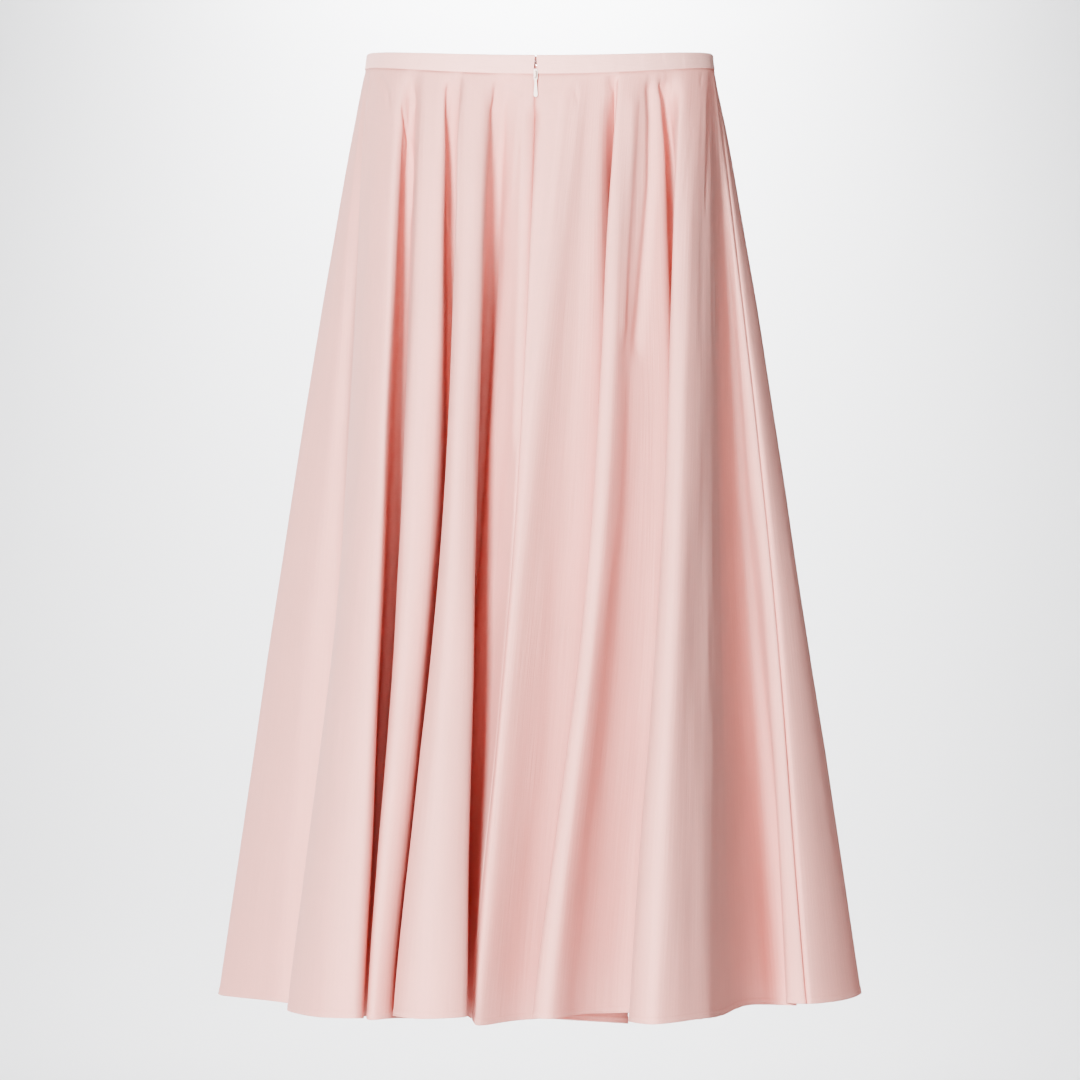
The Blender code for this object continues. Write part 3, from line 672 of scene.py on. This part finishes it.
def seam_surface(line, offsets, shares_down):
    """Points of the cloth at offsets round from a seam, and their normals."""
    middle = LINE_NAMES.index(line)
    steps = np.arange(NEAR_STEPS) / NEAR_STEPS
    spans = np.repeat(np.arange(middle - NEAR_SPANS, middle + NEAR_SPANS), NEAR_STEPS) % len(LINES)
    shares = np.tile(steps, 2 * NEAR_SPANS)
    points, down, whole = panel_surface(spans, shares)
    angles = np.broadcast_to(place_angles(spans, shares), down.shape)
    points = points + surface_normals(points) * crease_relief(angles, down)[..., None]
    sheet = np.empty((len(shares_down), len(spans), 3))
    for column in range(len(spans)):
        for axis in range(3):
            places = shares_down * whole[column]
            sheet[:, column, axis] = np.interp(places, down[:, column], points[:, column, axis])
    normals = surface_normals(sheet)
    lengths = np.linalg.norm(np.diff(sheet, axis=1), axis=2)
    along = np.hstack((np.zeros((len(sheet), 1)), np.cumsum(lengths, axis=1)))
    along -= along[:, NEAR_SPANS * NEAR_STEPS, None]
    near = np.empty((len(sheet), len(offsets), 3))
    facing = np.empty_like(near)
    for row in range(len(sheet)):
        for axis in range(3):
            near[row, :, axis] = np.interp(offsets, along[row], sheet[row, :, axis])
            facing[row, :, axis] = np.interp(offsets, along[row], normals[row, :, axis])
    return near, facing


def seam_strip(name, line, half_width, shares, columns, depth, thickness, material):
    """A flat strip of cloth that lies along the inside of a seam."""
    offsets = np.linspace(-half_width, half_width, columns)
    points, normals = seam_surface(line, offsets, shares)
    outer = points - normals * depth
    inner = outer - normals * thickness
    lay = np.stack(np.meshgrid(offsets, shares * CLOTH_LENGTH), axis=-1)
    maps = (("pattern", lay), ("lay", lay))
    return add_object(name, shell_mesh(name, outer, inner, maps), material)


def tape_ends(material):
    """The upper ends of the zip's tape, turned up behind the waistband's opening."""
    turns = CLOSURE_ANGLE + np.linspace(-TAPE_END_TURN, TAPE_END_TURN, TAPE_COLUMNS)
    levels = np.linspace(TAPE_END_TOP, TAPE_END_FOOT, TAPE_END_ROWS)
    outer = np.empty((len(levels), len(turns), 3))
    facing = np.empty_like(outer)
    for column, angle in enumerate(turns):
        across, out = waist_point(angle)
        facing[:, column] = waist_facing(angle)
        outer[:, column, :2] = across, -out
        outer[:, column, 2] = -waist_drop(angle) - levels * band_height(angle)
    depth = np.linspace(*TAPE_END_DEPTHS, len(levels))[:, None, None]
    outer = outer - facing * depth
    arcs = np.linspace(-TAPE_HALF_WIDTH, TAPE_HALF_WIDTH, TAPE_COLUMNS)
    lay = np.stack(np.meshgrid(arcs, levels * BAND_HEIGHT), axis=-1)
    maps = (("pattern", lay), ("lay", lay))
    data = shell_mesh("zip_tape_ends", outer, outer - facing * TAPE_THICKNESS, maps)
    return add_object("zip_tape_ends", data, material)


def zip_coils(material):
    """The zip's two nylon coils, wound one through the other on the inside of its tape."""
    turns = (ZIP_SHARE * CLOTH_LENGTH - ZIP_START) / COIL_PITCH
    steps = np.linspace(0, 1, int(turns * COIL_TURN_STEPS))
    shares = ZIP_START / CLOTH_LENGTH + (ZIP_SHARE - ZIP_START / CLOTH_LENGTH) * steps
    points, normals = seam_surface(CENTRE_BACK_LINE, np.array((-COIL_GUIDE, 0.0, COIL_GUIDE)), shares)
    side = points[:, 2] - points[:, 0]
    side /= np.linalg.norm(side, axis=1)[:, None]
    facing = normals[:, 1] / np.linalg.norm(normals[:, 1], axis=1)[:, None]
    seam = points[:, 1] - facing * (TAPE_DEPTH + TAPE_THICKNESS + COIL_RADIUS)
    tubes = []
    for way in (-1, 1):
        wound = (2 * np.pi * turns * steps + (0 if way < 0 else np.pi))[:, None]
        route = seam + side * (way * COIL_APART + COIL_RADIUS * np.cos(wound) * way)
        route = route + facing * COIL_RADIUS * COIL_FLATNESS * np.sin(wound)
        ahead = np.gradient(route, axis=0)
        ahead /= np.linalg.norm(ahead, axis=1)[:, None]
        first = np.cross(ahead, seam - route)
        first /= np.linalg.norm(first, axis=1)[:, None]
        second = np.cross(ahead, first)
        angles = np.arange(COIL_SIDES) / COIL_SIDES * 2 * np.pi
        ring = route[:, None] + COIL_WIRE * (
            first[:, None] * np.cos(angles)[:, None] + second[:, None] * np.sin(angles)[:, None]
        )
        tubes.append(ring)
    return add_object("zip_coils", tubes_mesh("zip_coils", np.array(tubes)), material)


# ---- Materials. ----


def new_material(name):
    """A material and its nodes, with its Principled shader."""
    material = bpy.data.materials.new(name)
    material.use_nodes = True
    tree = material.node_tree
    return material, tree, tree.nodes["Principled BSDF"]


def node(tree, kind, inputs=None, **settings):
    """A new node with its settings, and with its inputs linked or set."""
    made = tree.nodes.new(kind)
    for key, value in settings.items():
        setattr(made, key, value)
    for key, value in (inputs or {}).items():
        if isinstance(value, bpy.types.NodeSocket):
            tree.links.new(value, made.inputs[key])
        else:
            made.inputs[key].default_value = value
    return made


def stretched_noise(tree, place, scale, detail):
    """Noise whose scale differs along and across."""
    place = node(tree, "ShaderNodeMapping", {"Vector": place, "Scale": scale}).outputs[0]
    return node(tree, "ShaderNodeTexNoise", {"Vector": place, "Scale": 1.0, "Detail": detail})


def poplin(name, colour, streak_scale, translucency):
    """Cotton poplin: fine ribs, uneven yarns, faint lengthwise streaks, and light that comes through."""
    material, tree, shader = new_material(name)
    pattern = node(tree, "ShaderNodeUVMap", uv_map="pattern").outputs["UV"]
    lay = node(tree, "ShaderNodeUVMap", uv_map="lay").outputs["UV"]
    streaks = stretched_noise(tree, lay, streak_scale, 3.0)
    cloud = node(tree, "ShaderNodeTexNoise", {"Vector": lay, "Scale": CLOUD_SCALE, "Detail": 2.0})
    warp = stretched_noise(tree, pattern, WARP_SCALE, 2.0)
    weft = stretched_noise(tree, pattern, WEFT_SCALE, 2.0)
    yarns = node(tree, "ShaderNodeMath", {0: warp.outputs[0], 1: weft.outputs[0]}, operation="ADD")
    tone = node(tree, "ShaderNodeMath", {0: yarns.outputs[0], 1: streaks.outputs[0]}, operation="ADD")
    tone = node(tree, "ShaderNodeMath", {0: tone.outputs[0], 1: cloud.outputs[0]}, operation="ADD")
    share = node(
        tree, "ShaderNodeMapRange",
        {"Value": tone.outputs[0], "From Min": 1.3, "From Max": 2.7, "To Min": 0.0, "To Max": 1.0},
    )
    dark = tuple(CLOTH_DARKEST * part for part in colour)
    light = tuple(min(1.0, CLOTH_LIGHTEST * part) for part in colour)
    mix = node(tree, "ShaderNodeMix", {"Factor": share.outputs[0]}, data_type="RGBA")
    mix.inputs[6].default_value = (dark[0], dark[1], dark[2], 1)
    mix.inputs[7].default_value = (light[0], light[1], light[2], 1)
    base = mix.outputs[2]
    rough = node(
        tree, "ShaderNodeMapRange",
        {"Value": yarns.outputs[0], "From Min": 0.6, "From Max": 1.4, "To Min": 0.66, "To Max": 0.84},
    )
    bump = node(
        tree, "ShaderNodeBump", {"Height": streaks.outputs[0], "Strength": 0.35, "Distance": 0.0009}
    )
    bump = node(
        tree, "ShaderNodeBump",
        {"Height": yarns.outputs[0], "Strength": 0.5, "Distance": 0.00012, "Normal": bump.outputs[0]},
    )
    tree.links.new(base, shader.inputs["Base Color"])
    tree.links.new(rough.outputs[0], shader.inputs["Roughness"])
    tree.links.new(bump.outputs[0], shader.inputs["Normal"])
    shader.inputs["Specular IOR Level"].default_value = 0.25
    shader.inputs["Sheen Weight"].default_value = 0.25
    shader.inputs["Sheen Roughness"].default_value = 0.45
    shader.inputs["Sheen Tint"].default_value = SHEEN_TINT
    passed = node(tree, "ShaderNodeGamma", {"Color": base, "Gamma": LIGHT_THROUGH_GAMMA})
    through = node(
        tree, "ShaderNodeBsdfTranslucent", {"Color": passed.outputs[0], "Normal": bump.outputs[0]}
    )
    both = node(
        tree, "ShaderNodeMixShader", {0: translucency, 1: shader.outputs[0], 2: through.outputs[0]}
    )
    tree.links.new(both.outputs[0], tree.nodes["Material Output"].inputs["Surface"])
    return material


def plain_finish(name, colour, roughness, metallic, mottle):
    """Nylon, thread, enamel or metal, with faint uneven colour and roughness."""
    material, tree, shader = new_material(name)
    place = node(tree, "ShaderNodeTexCoord").outputs["Object"]
    noise = node(tree, "ShaderNodeTexNoise", {"Vector": place, "Scale": 900.0, "Detail": 3.0})
    mix = node(tree, "ShaderNodeMix", {"Factor": noise.outputs[0]}, data_type="RGBA")
    mix.inputs[6].default_value = (*(part * (1 - mottle) for part in colour), 1)
    mix.inputs[7].default_value = (*(min(1, part * (1 + mottle)) for part in colour), 1)
    rough = node(
        tree, "ShaderNodeMapRange",
        {"Value": noise.outputs[0], "To Min": roughness * 0.8, "To Max": roughness * 1.25},
    )
    bump = node(
        tree, "ShaderNodeBump", {"Height": noise.outputs[0], "Strength": 0.2, "Distance": 0.00005}
    )
    tree.links.new(mix.outputs[2], shader.inputs["Base Color"])
    tree.links.new(rough.outputs[0], shader.inputs["Roughness"])
    tree.links.new(bump.outputs[0], shader.inputs["Normal"])
    shader.inputs["Metallic"].default_value = metallic
    return material


# ---- The waistband. ----


def band_section(height):
    """The waistband's rounded section at a height of band: depth out from its middle, and height."""
    section = []
    half_depth = BAND_THICKNESS / 2 - BAND_CORNER
    half_height = height / 2 - BAND_CORNER
    for quarter, (side, level) in enumerate(((1, 1), (-1, 1), (-1, -1), (1, -1))):
        for turn in np.radians(90 * quarter + np.linspace(0, 90, BAND_CORNER_STEPS)):
            out = side * half_depth + BAND_CORNER * math.cos(turn)
            section.append((out, level * half_height + BAND_CORNER * math.sin(turn)))
        if quarter in (1, 3):
            step_up = 2 * half_height / BAND_FACE_STEPS * (1 if quarter == 3 else -1)
            out, up = section[-1]
            section.extend((out, up + step_up * step) for step in range(1, BAND_FACE_STEPS))
    return np.array(section)


def waistband(material):
    """The strip of double cloth round the waist: rounded edges, closed ends at the centre back."""
    turns = np.linspace(CLOSURE_ANGLE, CLOSURE_ANGLE + 360, BAND_TURNS + 1)
    wave, along_size, up_size, seed = BAND_WAVES
    columns = []
    arc = 0.0
    last = None
    for angle in turns:
        across, out = waist_point(angle)
        height = band_height(angle)
        middle = np.array((across, -out, -waist_drop(angle) - height / 2))
        arc += 0 if last is None else np.linalg.norm(middle - last)
        last = middle
        section = band_section(height)
        share = 0.5 - section[:, 1] / height
        offset = BAND_PROUD - BAND_THICKNESS / 2 - BAND_DRAW_IN * (1 - share) + section[:, 0]
        arcs = np.full(len(section), arc)
        offset += wave * value_noise(arcs, section[:, 1] + BAND_WAVES_LIFT, along_size, up_size, seed)
        points = middle + waist_facing(angle) * offset[:, None]
        points[:, 2] += section[:, 1]
        lay = np.column_stack((arcs, section[:, 1]))
        columns.append((points, lay, share))
    for column, side in ((0, 1), (-1, -1)):
        points, _, share = columns[column]
        gap = CLOSURE_GAP_TOP + (CLOSURE_GAP_FOOT - CLOSURE_GAP_TOP) * share
        points[:, 0] += side * gap / 2
    rows = len(columns[0][0])
    mesh = bmesh.new()
    grid = [[mesh.verts.new(place) for place in points] for points, _, _ in columns]
    maps = [mesh.loops.layers.uv.new(name) for name in ("pattern", "lay")]
    for column in range(len(grid) - 1):
        for row in range(rows):
            under = (row + 1) % rows
            corners = ((column, row), (column, under), (column + 1, under), (column + 1, row))
            face = mesh.faces.new([grid[a][b] for a, b in corners])
            for loop, (a, b) in zip(face.loops, corners):
                for each in maps:
                    loop[each].uv = columns[a][1][b]
    for end in (0, -1):
        mesh.faces.new(grid[end])
    bmesh.ops.recalc_face_normals(mesh, faces=mesh.faces)
    data = bpy.data.meshes.new("waistband_cloth")
    mesh.to_mesh(data)
    mesh.free()
    data.shade_smooth()
    data.set_sharp_from_angle(angle=math.radians(BAND_SHARP_ANGLE))
    return add_object("waistband_cloth", data, material)


# ---- The studio. ----


def area_light(name, place, aim, size, power, spread):
    """A soft lamp at a place, aimed at a point, whose light spreads by an angle in degrees."""
    lamp = bpy.data.lights.new(name, "AREA")
    lamp.shape = "RECTANGLE"
    lamp.size, lamp.size_y = size
    lamp.energy = power
    lamp.spread = math.radians(spread)
    item = bpy.data.objects.new(name, lamp)
    item.visible_camera = False
    item.location = place
    way = np.array(aim, float) - np.array(place, float)
    flat = math.hypot(way[0], way[1])
    item.rotation_euler = (math.atan2(flat, -way[2]), 0, math.atan2(-way[0], way[1]))
    bpy.context.scene.collection.objects.link(item)


def backdrop():
    """A pale sweep: a floor that curves up into a wall behind the skirt."""
    profile = [(FLOOR_START, FLOOR_HEIGHT)]
    radius = SWEEP_RADIUS
    for turn in np.radians(np.linspace(-90, 0, SWEEP_STEPS)):
        level = FLOOR_HEIGHT + radius + radius * math.sin(turn)
        profile.append((BACKDROP_DISTANCE - radius + radius * math.cos(turn), level))
    profile.append((BACKDROP_DISTANCE, BACKDROP_TOP))
    mesh = bmesh.new()
    sides = [[mesh.verts.new((x, y, z)) for y, z in profile] for x in BACKDROP_SIDES]
    for step in range(len(profile) - 1):
        mesh.faces.new((sides[0][step], sides[1][step], sides[1][step + 1], sides[0][step + 1]))
    data = bpy.data.meshes.new("studio_sweep")
    mesh.to_mesh(data)
    mesh.free()
    data.shade_smooth()
    material, tree, shader = new_material("pale_paper")
    place = node(tree, "ShaderNodeTexCoord").outputs["Object"]
    noise = node(tree, "ShaderNodeTexNoise", {"Vector": place, "Scale": 260.0, "Detail": 2.0})
    bump = node(
        tree, "ShaderNodeBump", {"Height": noise.outputs[0], "Strength": 0.05, "Distance": 0.0005}
    )
    tree.links.new(bump.outputs[0], shader.inputs["Normal"])
    shader.inputs["Base Color"].default_value = PAPER_COLOUR
    shader.inputs["Roughness"].default_value = 0.9
    item = bpy.data.objects.new("studio_sweep", data)
    data.materials.append(material)
    bpy.context.scene.collection.objects.link(item)


def studio():
    """The camera, the lamps and the pale surroundings."""
    scene = bpy.context.scene
    lens = bpy.data.cameras.new("camera")
    lens.lens = CAMERA_LENS
    camera = bpy.data.objects.new("camera", lens)
    camera.location = CAMERA_PLACE
    camera.rotation_euler = (math.radians(90), 0, 0)
    scene.collection.objects.link(camera)
    scene.camera = camera
    world = bpy.data.worlds.new("studio")
    scene.world = world
    world.use_nodes = True
    sky = world.node_tree.nodes["Background"]
    sky.inputs["Color"].default_value = (1.0, 1.0, 1.0, 1)
    sky.inputs["Strength"].default_value = SKY_STRENGTH
    for lamp in LAMPS:
        area_light(*lamp)
    backdrop()
    scene.cycles.max_bounces = MOST_BOUNCES
    scene.cycles.diffuse_bounces = MOST_DIFFUSE_BOUNCES
    scene.view_settings.view_transform = "AgX"
    scene.view_settings.look = "AgX - High Contrast"


def main():
    """Dress the skirt."""
    studio()
    cloth, band_cloth, tape_cloth = (poplin(*row) for row in CLOTHS)
    finishes = {row[0]: plain_finish(*row) for row in FINISHES}
    band = waistband(band_cloth)
    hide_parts("waistband")
    for name, line, start in SEAMS:
        shares = np.linspace(start, ALLOWANCE_END, ALLOWANCE_ROWS)
        seam_strip(
            f"seam_allowance_{name}", line, ALLOWANCE_HALF_WIDTH, shares, ALLOWANCE_COLUMNS,
            ALLOWANCE_DEPTH, ALLOWANCE_THICKNESS, cloth,
        )
    for name, node_name, first_line, last_line, spacing, share, seam, seed in PANELS:
        item, line = cloth_panel(f"cloth_{name}", first_line, last_line, spacing, seed, cloth)
        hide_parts(node_name)
        stitches = hem_stitches(f"hem_stitches_{name}", line, finishes["pink_thread"])
    tape = seam_strip(
        "zip_tape_cloth", CENTRE_BACK_LINE, TAPE_HALF_WIDTH, np.linspace(0, ZIP_SHARE, TAPE_ROWS),
        TAPE_COLUMNS, TAPE_DEPTH, TAPE_THICKNESS, tape_cloth,
    )
    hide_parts("zip_tape")
    coils = zip_coils(finishes["pink_nylon"])
    ends = tape_ends(tape_cloth)
    for node_name, finish in HARD_PIECES:
        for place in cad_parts[node_name].material_slots:
            place.material = finishes[finish]


main()
